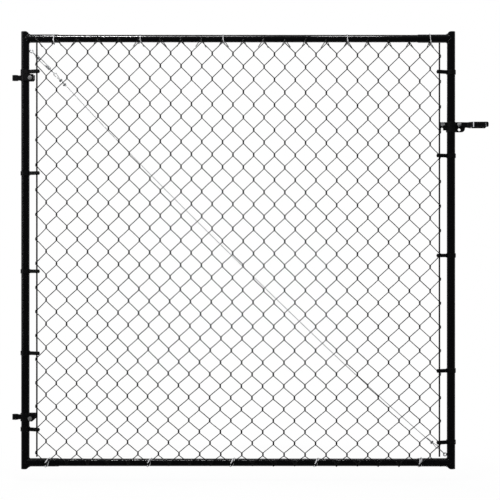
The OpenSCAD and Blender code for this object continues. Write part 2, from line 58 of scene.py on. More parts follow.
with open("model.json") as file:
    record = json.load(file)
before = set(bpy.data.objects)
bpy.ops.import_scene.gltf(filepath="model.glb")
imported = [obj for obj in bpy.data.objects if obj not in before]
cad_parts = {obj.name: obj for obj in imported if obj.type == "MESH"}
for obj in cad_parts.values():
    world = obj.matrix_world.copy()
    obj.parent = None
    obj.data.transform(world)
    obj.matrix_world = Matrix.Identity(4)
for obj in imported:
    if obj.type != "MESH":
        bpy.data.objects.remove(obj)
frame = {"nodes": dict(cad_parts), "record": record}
CAD_BOX = [list(c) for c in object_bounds()]
LEAF = "leaf"


def middle(node, axis):
    low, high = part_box(node)
    return (low[axis] + high[axis]) / 2


def extent(node, axis):
    low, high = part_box(node)
    return high[axis] - low[axis]


# Places read from the frame, in metres
X_L, X_R = middle("left_upright", 0), middle("right_upright", 0)
Z_TOP, Z_BOT = middle("top_rail", 2), middle("bottom_rail", 2)
TUBE_R = extent("left_upright", 1) / 2
RAIL_R = extent("top_rail", 1) / 2
ROD_L, ROD_R = middle("left_tension_rod", 0), middle("right_tension_rod", 0)
ROD_D = extent("left_tension_rod", 0)
Y_MESH = middle("left_tension_rod", 1)

PIVOT_X = middle("latch_pivot_bolt", 0)
FORK_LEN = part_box("latch_fork")[1][0] - PIVOT_X

# Sizes that the solids have
STUB_LEN = 0.122
BAND_T = 0.0028
HINGE_RISE = 1.4175

# The fabric: its columns of knuckles, its panels' first pickets and the columns with a tie
PICKETS, HALF_ROWS = 39, 35
ROD_ROOM = 0.0023
COL_0 = ROD_L - ROD_D / 2 - ROD_ROOM
COL_N = ROD_R + ROD_D / 2 + ROD_ROOM
PITCH = (COL_N - COL_0) / PICKETS
MESH_TOP = Z_TOP - 0.003
MESH_SPAN = MESH_TOP - Z_BOT + 0.0033
LAYER = 0.0041
SEAMS = [0, 10, 20, 30, 39]
TOP_TIES, BOTTOM_TIES = [2, 10, 18, 30, 38], [1, 11, 19, 27, 37]

# How it hangs: taller diamonds at the top, a fall to the latch side and one slack patch
STRETCH = 0.055
FALL, LAST_ROW_LIFT = 0.021, 0.006
PATCH_Z, PATCH_TALL = 0.08, 0.42
PATCH_DROP, PATCH_PULL = 0.0092, 0.0113


def slack(x, z, patch_x, wide):
    """How much the slack patch, low on the hinge side, moves a place."""
    return math.exp(-((x - patch_x) / wide) ** 2 - ((z - PATCH_Z) / PATCH_TALL) ** 2)


def lattice(c, r):
    """Where the knuckle of column c and row r is, in X and Z."""
    f, across = r / HALF_ROWS, c / PICKETS
    x = COL_0 + c * PITCH
    z = MESH_TOP - MESH_SPAN * ((1 + STRETCH) * f - STRETCH * f * f) - FALL * across * (1 - 0.4 * f)
    if r == HALF_ROWS:
        z += LAST_ROW_LIFT * across
    drop = PATCH_DROP * slack(x, z, 0.92, 0.50) * (1 - f ** 8)
    return x - PATCH_PULL * slack(x, z, 0.73, 0.40) * min(1, c / 3), z - drop


# ---------------------------------------------------------------- settings


def length(name, text, size):
    return bpy.props.FloatProperty(name=name, description=text, default=size, unit="LENGTH")


def tint(name, text, colour):
    return bpy.props.FloatVectorProperty(name=name, description=text, subtype="COLOR", size=3,
                                         min=0, max=1, default=colour)


class GateSizes(bpy.types.PropertyGroup):
    """Sizes of the woven and bent pieces"""

    wire: length("Wire", "Thickness of a coated fabric wire", 0.0038)
    knuckle: length("Knuckle", "Height of a hooked knuckle", 0.0138)
    hook: length("Hook", "How far a bend passes its neighbour", 0.00155)
    tail: length("Tail", "Length of a bent back wire end", 0.023)
    rod: length("Tension rod", "Thickness of the coated tension rods", 0.0068)
    tie: length("Tie wire", "Thickness of the rail ties", 0.0038)
    lay: length("Rope lay", "Length of one turn of the rope's strands", 0.024)
    bead: length("Weld bead", "Thickness of the weld beads", 0.0042)


class GateColours(bpy.types.PropertyGroup):
    """Colours of the finishes"""

    coat: tint("Powder coat", "Colour of the powder coated steel", (0.0011, 0.0011, 0.0013))
    vinyl: tint("Vinyl", "Colour of the fabric's vinyl coat", (0.0010, 0.0011, 0.0010))
    plastic: tint("Caps", "Colour of the plastic end caps", (0.012, 0.012, 0.012))
    steel: tint("Bare steel", "Colour of steel where the coat is rubbed away", (0.30, 0.29, 0.28))
    zinc: tint("Zinc", "Colour of the galvanised pieces", (0.52, 0.53, 0.54))
    aluminium: tint("Aluminium", "Colour of the tie wire", (0.82, 0.82, 0.83))


# ---------------------------------------------------------------- shared nodes


def plug(tree, value, socket):
    """Links an output to an input, or sets the input to a number, a place or a colour."""
    if isinstance(value, bpy.types.NodeSocket):
        tree.links.new(value, socket)
    elif socket.type == "RGBA" and len(value) == 3:
        socket.default_value = (*value, 1)
    else:
        socket.default_value = value


def add(tree, kind, values=None, **settings):
    """A new node with its settings and its inputs."""
    node = tree.nodes.new("ShaderNode" + kind)
    for key, value in settings.items():
        setattr(node, key, value)
    for key, value in (values or {}).items():
        plug(tree, value, node.inputs[key])
    return node


def maths(tree, operation, *terms):
    return add(tree, "Math", dict(enumerate(terms)), operation=operation).outputs[0]


def ramp(tree, value, low, high, bottom=0.0, top=1.0):
    """A smooth step of a value between low and high."""
    return add(tree, "MapRange", {"Value": value, "From Min": low, "From Max": high,
                                  "To Min": bottom, "To Max": top},
               interpolation_type="SMOOTHSTEP").outputs["Result"]


def blend(tree, mask, under, over, kind="RGBA"):
    """Mixes two colours or two values by a mask."""
    first, result = {"RGBA": (6, 2), "FLOAT": (2, 0)}[kind]
    values = {0: mask, first: under, first + 1: over}
    return add(tree, "Mix", values, data_type=kind).outputs[result]


def noise_at(tree, place, scale, detail, **more):
    values = {"Vector": place, "Scale": scale, "Detail": detail, **more}
    return add(tree, "TexNoise", values).outputs["Fac"]


def new_group(name, inputs, outputs):
    """A group's tree, its given values, its results and the object's own coordinates."""
    tree = bpy.data.node_groups.new(name, "ShaderNodeTree")
    for label, value in inputs.items():
        socket = tree.interface.new_socket(label, in_out="INPUT", socket_type="NodeSocketFloat")
        socket.default_value = value
    for label, kind in outputs.items():
        tree.interface.new_socket(label, in_out="OUTPUT", socket_type="NodeSocket" + kind)
    given = tree.nodes.new("NodeGroupInput").outputs
    results = tree.nodes.new("NodeGroupOutput").inputs
    return tree, given, results, add(tree, "TexCoord").outputs["Object"]


def grain_group():
    """Orange peel and fine grain of a sprayed or moulded skin."""
    tree, given, results, place = new_group(
        "Coat grain", {"Scale": 900.0, "Peel": 0.15, "Depth": 0.0002},
        {"Normal": "Vector", "Mottle": "Float"})
    bump = add(tree, "Bump", {"Height": noise_at(tree, place, given["Scale"], 2.0),
                              "Strength": given["Peel"], "Distance": given["Depth"]})
    plug(tree, bump.outputs["Normal"], results["Normal"])
    plug(tree, noise_at(tree, place, 14.0, 3.0), results["Mottle"])
    return tree


def wear_group():
    """1 where a sharp edge has lost its coat, broken up by noise."""
    tree, given, results, place = new_group(
        "Edge wear", {"Radius": 0.0008, "Amount": 0.5}, {"Mask": "Float"})
    soft = add(tree, "Bevel", {"Radius": given["Radius"]}, samples=6).outputs["Normal"]
    flat = add(tree, "NewGeometry").outputs["Normal"]
    dot = add(tree, "VectorMath", {0: soft, 1: flat}, operation="DOT_PRODUCT").outputs["Value"]
    noise = noise_at(tree, place, 260.0, 5.0, Roughness=0.65)
    chips = ramp(tree, maths(tree, "MULTIPLY", given["Amount"], noise), 0.30, 0.55)
    plug(tree, maths(tree, "MULTIPLY", ramp(tree, dot, 0.97, 0.80), chips), results["Mask"])
    return tree


def dust_group():
    """Pale dust in patches on faces that look up."""
    tree, given, results, place = new_group("Dust", {"Amount": 0.3}, {"Mask": "Float"})
    face = add(tree, "SeparateXYZ", {0: add(tree, "NewGeometry").outputs["Normal"]})
    up = ramp(tree, face.outputs["Z"], 0.55, 1.0)
    patches = ramp(tree, noise_at(tree, place, 38.0, 6.0, Roughness=0.7), 0.42, 0.72)
    film = maths(tree, "MULTIPLY", maths(tree, "MULTIPLY", up, patches), given["Amount"])
    plug(tree, film, results["Mask"])
    return tree


def scuff_and_highlight_group():
    """Patches where a coat is scuffed thin; also the patches that break up the painted bend
    highlights.
    """
    tree, given, results, place = new_group(
        "Scuffs", {"Scale": 60.0, "Start": 0.6}, {"Mask": "Float"})
    noise = noise_at(tree, place, given["Scale"], 6.0, Roughness=0.72, Distortion=0.4)
    end = maths(tree, "ADD", given["Start"], 0.12)
    plug(tree, ramp(tree, noise, given["Start"], end), results["Mask"])
    return tree


def spangle_group():
    """Crystals of hot dip zinc, with a thin white bloom."""
    tree, given, results, place = new_group(
        "Spangle", {"Scale": 420.0}, {"Tone": "Float", "Normal": "Vector"})
    cells = add(tree, "TexVoronoi", {"Vector": place, "Scale": given["Scale"]}).outputs
    grey = add(tree, "SeparateColor", {0: cells["Color"]}).outputs[0]
    both = maths(tree, "ADD", grey, noise_at(tree, place, 90.0, 5.0))
    bump = add(tree, "Bump", {"Strength": 0.25, "Distance": 0.0002, "Height": cells["Distance"]})
    plug(tree, maths(tree, "MULTIPLY", both, 0.5), results["Tone"])
    plug(tree, bump.outputs["Normal"], results["Normal"])
    return tree


GROUPS = {}


def use_group(tree, maker, *values):
    """The outputs of a shared group, which is made at its first use."""
    if maker not in GROUPS:
        GROUPS[maker] = maker()
    return add(tree, "Group", dict(enumerate(values)), node_tree=GROUPS[maker]).outputs


# ---------------------------------------------------------------- finishes


# Pale colour painted in streaks across the fork's bends as a highlight
PAINTED_BEND_HIGHLIGHT = (0.75, 0.76, 0.78)
DUST_COLOUR = (0.16, 0.15, 0.14)


def new_material(name, colour, rough, metal=0.0, specular=0.5):
    mat = bpy.data.materials.new(name)
    mat.use_nodes = True
    shader = mat.node_tree.nodes["Principled BSDF"]
    for key, value in (("Base Color", colour), ("Roughness", rough), ("Metallic", metal),
                       ("Specular IOR Level", specular)):
        plug(mat.node_tree, value, shader.inputs[key])
    return mat, mat.node_tree, shader


def coat_material(name, colour, steel, rough=0.34, specular=0.3, grain=(700.0, 0.18, 0.00022),
                  wear=(0.0007, 0.55), dust=0.2, scuff=None, bends=()):
    """A black coat with its grain, mottled gloss, worn edges, painted highlight streaks at given
    bends, and dust.
    """
    mat, tree, shader = new_material(name, colour, rough, specular=specular)
    skin = use_group(tree, grain_group, *grain)
    layers = []
    if wear:
        edge = use_group(tree, wear_group, *wear)["Mask"]
        plug(tree, edge, shader.inputs["Metallic"])
        layers.append((edge, steel, 0.45))
    if scuff:
        layers.append((use_group(tree, scuff_and_highlight_group, *scuff)["Mask"], steel, 0.5))
    # Painted highlight: a pale streak across each given bend, broken into patches
    for x, width, start in bends:
        place = add(tree, "SeparateXYZ", {0: add(tree, "TexCoord").outputs["Object"]})
        away = maths(tree, "ABSOLUTE", maths(tree, "SUBTRACT", place.outputs["X"], x))
        patch = use_group(tree, scuff_and_highlight_group, 160.0, start)["Mask"]
        painted_highlight = maths(tree, "MULTIPLY", ramp(tree, away, 0.0, width, 1.0, 0.0), patch)
        layers.append((painted_highlight, PAINTED_BEND_HIGHLIGHT, 0.5))
    if dust:
        layers.append((use_group(tree, dust_group, dust)["Mask"], DUST_COLOUR, 0.8))
    tone = blend(tree, skin["Mottle"], colour, tuple(min(1.0, 1.8 * c) for c in colour))
    gloss = blend(tree, skin["Mottle"], rough * 0.85, rough * 1.25, "FLOAT")
    for mask, over, sheen in layers:
        tone, gloss = blend(tree, mask, tone, over), blend(tree, mask, gloss, sheen, "FLOAT")
    for key, value in (("Base Color", tone), ("Roughness", gloss), ("Normal", skin["Normal"])):
        plug(tree, value, shader.inputs[key])
    return mat


def zinc_material(name, colour, rough=0.42, metal=0.55, spangle=420.0):
    """Zinc or aluminium, its tone and gloss broken up by crystals."""
    mat, tree, shader = new_material(name, colour, rough, metal=metal)
    skin = use_group(tree, spangle_group, spangle)
    tone = blend(tree, skin["Tone"], tuple(0.72 * c for c in colour), colour)
    gloss = blend(tree, skin["Tone"], rough * 1.2, rough * 0.8, "FLOAT")
    for key, value in (("Base Color", tone), ("Roughness", gloss), ("Normal", skin["Normal"])):
        plug(tree, value, shader.inputs[key])
    return mat


FINISHES = {}


class GATE_OT_finishes(bpy.types.Operator):
    """Makes the finishes and gives each solid its own"""

    bl_idname = "gate.finishes"
    bl_label = "Finishes"

    def execute(self, context):
        c = context.scene.gate_colours
        coat, vinyl, cap, steel, zinc, aluminium = (
            tuple(v) for v in (c.coat, c.vinyl, c.plastic, c.steel, c.zinc, c.aluminium))
        for slot, colour, under, looks in (
                ("coated_tube", coat, steel, dict(rough=0.15, specular=0.34, wear=(0.0009, 0.42),
                                                  grain=(700.0, 0.07, 0.00012), dust=0.05)),
                ("end_cap", cap, (0.05, 0.05, 0.05), dict(rough=0.55, grain=(1400.0, 0.3, 0.0002),
                                                          wear=None, dust=0.25)),
                ("coated_wire", vinyl, steel, dict(rough=0.38, specular=0.25, wear=None, dust=0.12,
                                                   grain=(2200.0, 0.12, 0.0001))),
                ("coated_rod", coat, steel, dict(rough=0.36, wear=None, dust=0.1,
                                                 scuff=(75.0, 0.70))),
                ("coated_plate", coat, steel, dict(rough=0.36, wear=(0.0008, 0.60), dust=0.15,
                                                   scuff=(120.0, 0.72))),
                ("fork_strip", coat, steel, dict(rough=0.34, wear=(0.0008, 0.60), dust=0.15,
                                                 scuff=(120.0, 0.62),
                                                 # Painted highlight streaks at the fork's two
                                                 # bends: place, half width and patchiness
                                                 bends=((PIVOT_X + 0.0552, 0.0030, 0.12),
                                                        (PIVOT_X + 0.1072, 0.0034, 0.50)))),
                ("coated_bolt", coat, steel, dict(rough=0.40, wear=(0.0006, 0.62), dust=0.15,
                                                  scuff=(300.0, 0.66))),
                ("worn_bolt", (0.070, 0.070, 0.069), (0.34, 0.34, 0.34),
                 dict(rough=0.5, wear=(0.0008, 0.7), dust=0.1, scuff=(260.0, 0.56))),
                ("rubbed_bolt", (0.035, 0.036, 0.038), (0.42, 0.42, 0.42),
                 dict(rough=0.42, wear=(0.0008, 0.7), dust=0.1, scuff=(240.0, 0.47)))):
            FINISHES[slot] = coat_material(slot, colour, under, **looks)
        for slot, colour, share, looks in (
                ("tie_wire", aluminium, 1, dict(rough=0.40, metal=0.15, spangle=900.0)),
                # The top ties' aluminium, darkened to 0.42 of its colour as painted shade
                ("painted_shade_tie", aluminium, 0.42, dict(rough=0.45, metal=0.30, spangle=900.0)),
                ("galvanised", zinc, 1, dict(rough=0.40)),
                ("dull_clip", zinc, 0.42, dict(rough=0.50)),
                ("wire_rope", zinc, 1.1, dict(rough=0.36, spangle=1500.0))):
            FINISHES[slot] = zinc_material(slot, tuple(share * v for v in colour), **looks)
        slots = {row["node"]: row["material_slot"] for row in frame["record"]["subparts"]}
        for node, obj in frame["nodes"].items():
            finish = FINISHES[slots[node]]
            if not obj.material_slots:
                obj.data.materials.append(finish)
            for slot in obj.material_slots:
                slot.material = finish
        return {"FINISHED"}


# ---------------------------------------------------------------- making pieces


def put(name, data):
    """A new object in the scene."""
    obj = bpy.data.objects.new(name, data)
    bpy.context.scene.collection.objects.link(obj)
    return obj


def finish_piece(name, mesh, slot, nodes=(), body=LEAF, look=None):
    """Makes a piece of a mesh, gives it its slot's finish or another look, and hangs it."""
    obj = put(name, mesh)
    mesh.materials.clear()
    mesh.materials.append(FINISHES[look or slot])
    mesh.polygons.foreach_set("use_smooth", [True] * len(mesh.polygons))
    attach(obj, body)
    if nodes:
        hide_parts(*nodes)


def piece_of(bm, name, slot, nodes=(), angle=40, body=LEAF, look=None):
    """Makes a piece of a bmesh, with its edges sharp from an angle on."""
    bmesh.ops.recalc_face_normals(bm, faces=bm.faces)
    mesh = bpy.data.meshes.new(name)
    bm.to_mesh(mesh)
    bm.free()
    finish_piece(name, mesh, slot, nodes, body, look)
    mesh.set_sharp_from_angle(angle=math.radians(angle))


def wires(name, paths, radius, sides_level, closed=False, kind="POLY", ripple=0.0):
    """One mesh of round wires that follow paths of points."""
    curve = bpy.data.curves.new(name, "CURVE")
    curve.dimensions = "3D"
    curve.bevel_depth = radius
    curve.bevel_resolution = sides_level
    curve.use_fill_caps = True
    curve.resolution_u = 3
    curve.twist_mode = "MINIMUM"
    for path in paths:
        spline = curve.splines.new(kind)
        spline.points.add(len(path) - 1)
        for point, at in zip(spline.points, path):
            point.co = (*at, 1)
            point.radius = 1 + ripple * (math.sin(900 * sum(at)) + 0.5 * math.sin(2300 * at[2]))
        spline.use_cyclic_u = closed
        if kind == "NURBS":
            spline.order_u = 3
            spline.use_endpoint_u = not closed
    obj = put(name, curve)
    bpy.context.view_layer.update()
    graph = bpy.context.evaluated_depsgraph_get()
    mesh = bpy.data.meshes.new_from_object(obj.evaluated_get(graph))
    bpy.data.objects.remove(obj)
    bpy.data.curves.remove(curve)
    mesh.name = name
    return mesh


# ---------------------------------------------------------------- fabric


BANDS = {}
# How far an arm reaches from its upright's axis, and half the height and depth that it keeps free
ARM_REACH, ARM_ROOM, ARM_CLEAR = 0.071, 0.019, 0.0075
BEND_STEPS = 8


def band_heights():
    """The middle heights of the tension bands, read from their solids' loose shells."""
    for side in ("left", "right"):
        node = frame["nodes"][side + "_band_bolts"]
        heights = sorted(v.co.z for v in node.data.vertices)
        levels, group = [], [heights[0]]
        for z in heights[1:]:
            if z - group[-1] > 0.02:
                levels.append((group[0] + group[-1]) / 2)
                group = []
            group.append(z)
        levels.append((group[0] + group[-1]) / 2)
        BANDS[side] = levels


def over_bands(point):
    """Lifts a point of a fabric wire over the arms of a tension band."""
    x, y, z = point
    side = "left" if x < (X_L + X_R) / 2 else "right"
    axis, sign = (X_L, 1) if side == "left" else (X_R, -1)
    u = sign * (x - axis)
    near = min(abs(z - level) for level in BANDS[side])
    if u > ARM_REACH or near > ARM_ROOM:
        return point
    share = min(1.0, (ARM_ROOM - near) / (ARM_ROOM / 2)) * min(1.0, (ARM_REACH - u) / 0.005)
    centre = u * Y_MESH / (ROD_L - X_L)
    target = min(y, centre - ARM_CLEAR) if y < Y_MESH else max(y, centre + ARM_CLEAR)
    return (x, y + (target - y) * share, z)


def swing(t, side, sizes):
    """Sideways place of a wire in a bend, as it passes its neighbour."""
    return side * sizes.hook * (2 * min(1.0, 1.5 * math.sin(t)) - 1)


def knuckle_points(c, r, side, sizes, start=0, stop=BEND_STEPS):
    """A wire's bend at a knuckle: side 1 bends at its right, from front to back."""
    x, z = lattice(c, r)
    rise = sizes.knuckle / 2
    points = []
    for i in range(start, stop + 1):
        t = math.pi * i / BEND_STEPS
        at = x + swing(t, side, sizes)
        if c in (0, PICKETS):
            rod, out = (ROD_L, -1) if c == 0 else (ROD_R, 1)
            reach = out * (sizes.rod / 2 + sizes.wire / 2 + 0.0001)
            at = rod + reach * min(1.0, 1.5 * math.sin(t)) - out * 0.0012 * math.cos(t) ** 2
        points.append((at, Y_MESH - side * LAYER * math.cos(t), z + rise * math.cos(t)))
    return points


def selvage_points(c, r, side, sizes, top):
    """The cut end of a wire, hooked over its neighbour and bent back beside its run."""
    x, z = lattice(c, r)
    up = 1 if top else -1
    rise = sizes.knuckle / 2
    layer = -up * side * LAYER
    lean = math.radians(61 + 5 * math.sin(7.3 * c + side))
    tail = sizes.tail * (0.92 + 0.33 * math.sin(3.7 * c + 2 * side) ** 2)
    tail *= 1.65 - 0.40 * c / PICKETS if top else 0.95
    lift = (0.0065 + 0.0035 * math.sin(5.1 * c + 2 * side)) * (1 if top else 0.35)
    points = []
    for i in range(4):
        s = tail * (1 - i / 4)
        points.append((x - side * (sizes.hook + s * math.cos(lean)), Y_MESH + layer,
                       z + up * (lift - s * math.sin(lean))))
    for i in range(BEND_STEPS):
        t = math.pi * i / BEND_STEPS
        height = rise * (0.7 * math.sin(t) - (1 - math.cos(t)) / 2) + lift / 2 * (1 + math.cos(t))
        points.append((x + swing(t, side, sizes), Y_MESH + layer * math.cos(t), z + up * height))
    return points if top else points[::-1]


def picket_points(p, sizes, noise):
    """One picket: a wire that zigzags down between two columns, hooked at every knuckle."""
    path = []
    for r in range(HALF_ROWS + 1):
        left = (p + r) % 2 == 0
        c = p if left else p + 1
        side = -1 if left else 1
        if r == 0:
            path += selvage_points(c, r, side, sizes, True)
            path += knuckle_points(c, r, side, sizes, start=BEND_STEPS)
        elif r == HALF_ROWS:
            path += knuckle_points(c, r, side, sizes, stop=0)
            path += selvage_points(c, r, side, sizes, False)
        else:
            path += knuckle_points(c, r, side, sizes)
    out = []
    for a, b in zip(path, path[1:]):
        out.append(a)
        if (Vector(b) - Vector(a)).length > 0.02:
            steps = 12 if p in (0, PICKETS - 1) else 3
            bow = 0.0007 * noise.uniform(-1, 1)
            for i in range(1, steps):
                f = i / steps
                at = Vector(a).lerp(Vector(b), f)
                out.append((at.x, at.y, at.z + bow * math.sin(math.pi * f)))
    out.append(path[-1])
    return [over_bands(point) for point in out]


class GATE_OT_fabric(bpy.types.Operator):
    """Weaves the fabric, picket by picket, and its two tension rods"""

    bl_idname = "gate.fabric"
    bl_label = "Fabric"

    def execute(self, context):
        sizes = context.scene.gate_sizes
        noise = random.Random(11)
        band_heights()
        for k, part in enumerate("abcd"):
            paths = [picket_points(p, sizes, noise) for p in range(SEAMS[k], SEAMS[k + 1])]
            mesh = wires("woven_pickets_" + part, paths, sizes.wire / 2, 1)
            finish_piece("woven_pickets_" + part, mesh, "coated_wire", ["fabric_" + part])
        for side, x in (("left", ROD_L), ("right", ROD_R)):
            low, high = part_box(side + "_tension_rod")
            bm, reach, r = bmesh.new(), high[2] - low[2], sizes.rod / 2
            lathe(bm, stand((x, Y_MESH, low[2]), (0, 0, 1), (0, 1, 0)), [
                (0, 0), (r - 0.0006, 0), (r, 0.0009)] + [(r, reach * i / 24) for i in range(1, 24)]
                + [(r, reach - 0.0009), (r - 0.0006, reach), (0, reach)], 16)
            piece_of(bm, side + "_tension_bar", "coated_rod", [side + "_tension_rod"])
        return {"FINISHED"}


# ---------------------------------------------------------------- ties


def top_tie(c, x, z_knuckle, z_rail, around, front):
    """A tie that hooks a run of the fabric, goes over the rail and ends behind the run."""
    if c == TOP_TIES[0]:
        x, z_knuckle = x - 0.015, z_knuckle - 0.010
    hook = z_knuckle - 0.012
    under = min(z_rail - (around + 0.004), z_knuckle - 0.006)
    side = 0.0045 if c % 4 else -0.0045
    bends = [(x + side * across, y, z) for across, y, z in (
        (1.5, Y_MESH, hook + 0.006), (1.5, Y_MESH, hook + 0.001),
        (1.5, Y_MESH - 0.0025, hook - 0.0025), (1.5, front + 0.001, hook - 0.0028),
        (1.4, front, hook + 0.001), (1.1, front, hook + 0.006), (0.5, front, z_knuckle + 0.005))]
    for i in range(13):
        t = math.radians(165 - i * 17.5)
        bends.append((x + side * (0.4 - 0.9 * i / 12), around * math.cos(t),
                      z_rail + around * math.sin(t)))
    return bends + [(x - side * across, y, z) for across, y, z in (
        (0.6, -around * 0.5, under), (0.8, Y_MESH + LAYER, under - 0.002),
        (0.9, Y_MESH + 0.001, under - 0.001), (1, Y_MESH, under + 0.003))]


def bottom_tie(c, x, z_knuckle, z_rail, around, front):
    """A tie that winds one and a half turns round the rail, slanting to one side in front."""
    slant = 0.0028 if c > 30 else 0.0068
    step = 0.0080
    hook = z_knuckle + 0.012
    bends = [(x - 0.004, Y_MESH + 0.001, hook - 0.004), (x - 0.0035, front + 0.001, hook - 0.006),
             (x + 0.001, front, hook + 0.001)]
    for a in range(-70, 411, 13):
        if a < 75:
            shift = -slant * a / 70
        elif a < 285:
            shift = -slant + (2 * slant + step) * (a - 75) / 210
        else:
            shift = slant + step - 2 * slant * (a - 285) / 140
        t = math.radians(a)
        bends.append((x + shift, -around * math.cos(t), z_rail - around * math.sin(t)))
    return bends


class GATE_OT_ties(bpy.types.Operator):
    """Bends the tie wires round the rails and the fabric"""

    bl_idname = "gate.ties"
    bl_label = "Ties"

    def execute(self, context):
        sizes = context.scene.gate_sizes
        half = sizes.tie / 2
        front = Y_MESH - LAYER - sizes.wire / 2 - half - 0.0003
        for name, bend, columns, r, z_rail, look in (
                # The top ties take the darkened aluminium, a painted shade
                ("top_ties", top_tie, TOP_TIES, 0, Z_TOP, "painted_shade_tie"),
                ("bottom_ties", bottom_tie, BOTTOM_TIES, HALF_ROWS, Z_BOT, "tie_wire")):
            paths = []
            for c in columns:
                x, z = lattice(c, r)
                on_stub = min(x - X_L, X_R - x) < TUBE_R + STUB_LEN
                around = (TUBE_R if on_stub else RAIL_R) + half + 0.0002
                paths.append(bend(c, x, z, z_rail, around, front))
            mesh = wires("bent_" + name, paths, half, 1, kind="NURBS")
            finish_piece("bent_" + name, mesh, "tie_wire", [name], look=look)
        return {"FINISHED"}


# ---------------------------------------------------------------- bolts


# Shank, (head radius, head height), (nut across flats, nut height) and thread that stands out
BAND_BOLT = (0.0050, (0.0065, 0.0028), (0.0085, 0.0042), 0.0035)
FRAME_BOLT = (0.0079, (0.0091, 0.0038), (0.0130, 0.0060), 0.0065)
PIVOT_BOLT = (0.0079, (0.0083, 0.0036), (0.0130, 0.0055), 0.0040)
SCREW_HEAD = [(0.0024, -0.0030), (0.0024, 0.0), (0.0049, 0.0), (0.0051, 0.0004),
              (0.0050, 0.0009), (0.0042, 0.0013), (0.0, 0.0013)]

def stand(at, axis, side=(0, 0, 1)):
    """A placing whose Z runs along an axis from a point."""
    z = Vector(axis).normalized()
    x = Vector(side).cross(z).normalized()
    turn = Matrix((x, z.cross(x), z)).transposed()
    return Matrix.Translation(at) @ turn.to_4x4()


def chain(bm, points):
    """Edges through points, with the vertices."""
    verts = [bm.verts.new(point) for point in points]
    return verts + [bm.edges.new(pair) for pair in zip(verts, verts[1:])]


def bevel(bm, edges, width):
    bmesh.ops.bevel(bm, geom=edges, offset=width, offset_type="OFFSET", segments=2, profile=0.5,
                    affect="EDGES", material=-1)


def lathe(bm, place, profile, steps):
    """Turns a profile of (radius, height) pairs about the placing's Z."""
    old = set(bm.verts)
    geom = chain(bm, [(r, 0, h) for r, h in profile])
    bmesh.ops.spin(bm, geom=geom, cent=(0, 0, 0), axis=(0, 0, 1), angle=math.tau, steps=steps,
                   use_merge=True)
    verts = [v for v in bm.verts if v not in old]
    poles = [v for v in verts if math.hypot(v.co.x, v.co.y) < 1e-7]
    bmesh.ops.remove_doubles(bm, verts=poles, dist=1e-6)
    verts = [v for v in verts if v.is_valid]
    bmesh.ops.transform(bm, matrix=place, verts=verts)
    return verts


def thread(bm, place, radius, pitch, reach, hand=1, steps=14):
    """A screw thread along the placing's Z, as one ridge that winds up it."""
    root = radius - 0.55 * pitch
    turns = max(1, int(reach / pitch))
    old = set(bm.verts)
    geom = chain(bm, [(root, 0, 0), (radius, 0, 0.42 * pitch), (radius, 0, 0.58 * pitch),
                      (root, 0, pitch)])
    bmesh.ops.spin(bm, geom=geom, cent=(0, 0, 0), axis=(0, 0, hand), angle=math.tau * turns,
                   dvec=(0, 0, pitch / steps), steps=steps * turns, use_merge=False)
    verts = [v for v in bm.verts if v not in old]
    bmesh.ops.transform(bm, matrix=place, verts=verts)
    bmesh.ops.remove_doubles(bm, verts=verts, dist=1e-6)


def nut(bm, place, bore, flats, height):
    """A hex nut with its corners chamfered by a cone, as a real one is."""
    low = flats / 2
    crown = 0.93 * low
    verts = lathe(bm, Matrix.Identity(4), [(bore, 0.0), (crown, 0.0), (low, 0.001),
                                           (low, height - 0.001), (crown, height),
                                           (bore, height)], 24)
    for vert in verts:
        radius = math.hypot(vert.co.x, vert.co.y)
        if abs(radius - low) < 1e-6:
            angle = math.atan2(vert.co.y, vert.co.x) % (math.pi / 3) - math.pi / 6
            grown = low / math.cos(angle)
            drop = (grown - crown) * 0.58
            vert.co.x *= grown / radius
            vert.co.y *= grown / radius
            vert.co.z = drop if vert.co.z < height / 2 else height - drop
    bmesh.ops.transform(bm, matrix=place, verts=verts)


def carriage_bolt(bm, at, axis, grip, sizes):
    """A carriage bolt: domed head, plates' grip, nut and the thread that stands out of it."""
    shank, (head_r, head_h), (flats, nut_h), spare = sizes
    place = stand(at, axis)
    dome = [(0.0, -head_h)]
    for i in range(1, 7):
        t = math.radians(15 * i)
        dome.append((head_r * math.sin(t), -0.22 * head_h - 0.78 * head_h * math.cos(t)))
    lathe(bm, place, dome + [(head_r, 0.0), (0.6 * shank, 0.0)], 24)
    neck, root = shank / 2 - 0.0002, shank / 2 - 0.0005
    end = grip + nut_h + spare
    lathe(bm, place, [(neck, -0.0002), (neck, grip), (root, grip + 0.0002), (root, end - 0.0006),
                      (root - 0.0008, end), (0.0, end)], 16)
    thread(bm, place @ Matrix.Translation((0, 0, grip + nut_h - 0.001)), shank / 2, 0.00115, spare)
    nut(bm, place @ Matrix.Translation((0, 0, grip)), shank / 2 - 0.0003, flats, nut_h)


